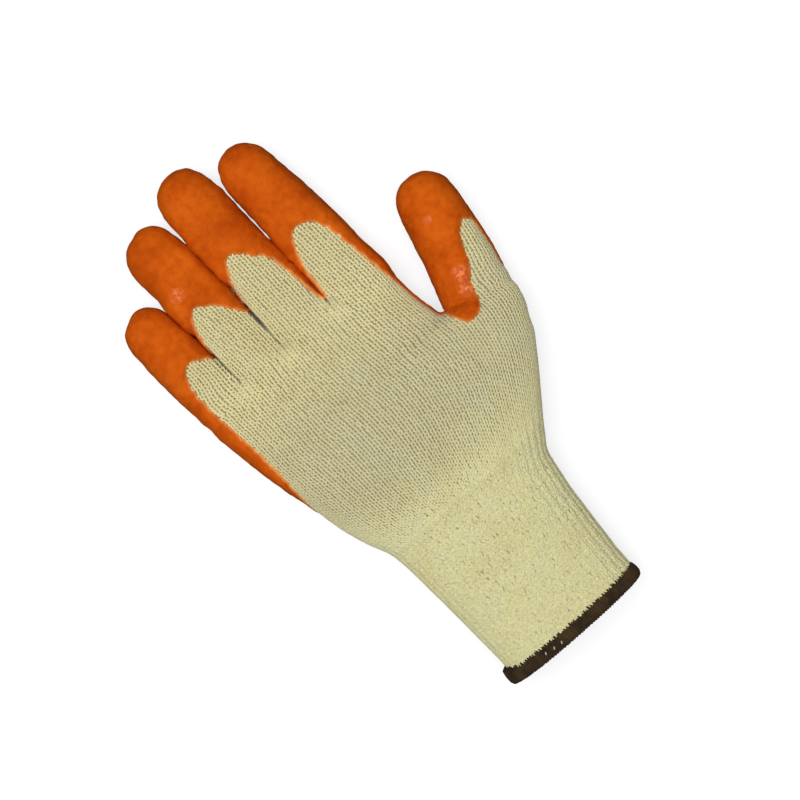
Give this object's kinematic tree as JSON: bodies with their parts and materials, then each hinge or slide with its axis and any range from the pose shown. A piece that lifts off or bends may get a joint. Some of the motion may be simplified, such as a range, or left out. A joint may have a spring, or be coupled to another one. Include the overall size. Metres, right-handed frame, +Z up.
{
  "type": "latex coated grip glove",
  "caption": "Left-hand work glove: seamless cream knit liner with a long cuff and brown overlocked hem, palm and fingertips dipped in crinkled orange latex; lies palm down.",
  "frame": {"origin": "under the middle of the glove's bounding box, on the surface that it lies on", "axes": "+Y from the cuff to the fingertips, +X towards the thumb, +Z up from the surface, through the back of the hand"},
  "size_m": [0.1422, 0.25, 0.0332],
  "materials": {
    "knit": "matte plain knit in cream yarn",
    "cuff_knit": "matte dense elastic knit in cream yarn",
    "hem_thread": "matte overlock thread, dark brown",
    "latex": "satin latex with a fine crinkle, orange"
  },
  "bodies": {
    "root": {"knit_hand": "knit", "little_stall": "knit", "ring_stall": "knit", "middle_stall": "knit", "index_stall": "knit", "thumb_stall": "knit", "knit_cuff": "cuff_knit", "cuff_hem": "hem_thread", "latex_coating": "latex"}
  },
  "joints": []
}
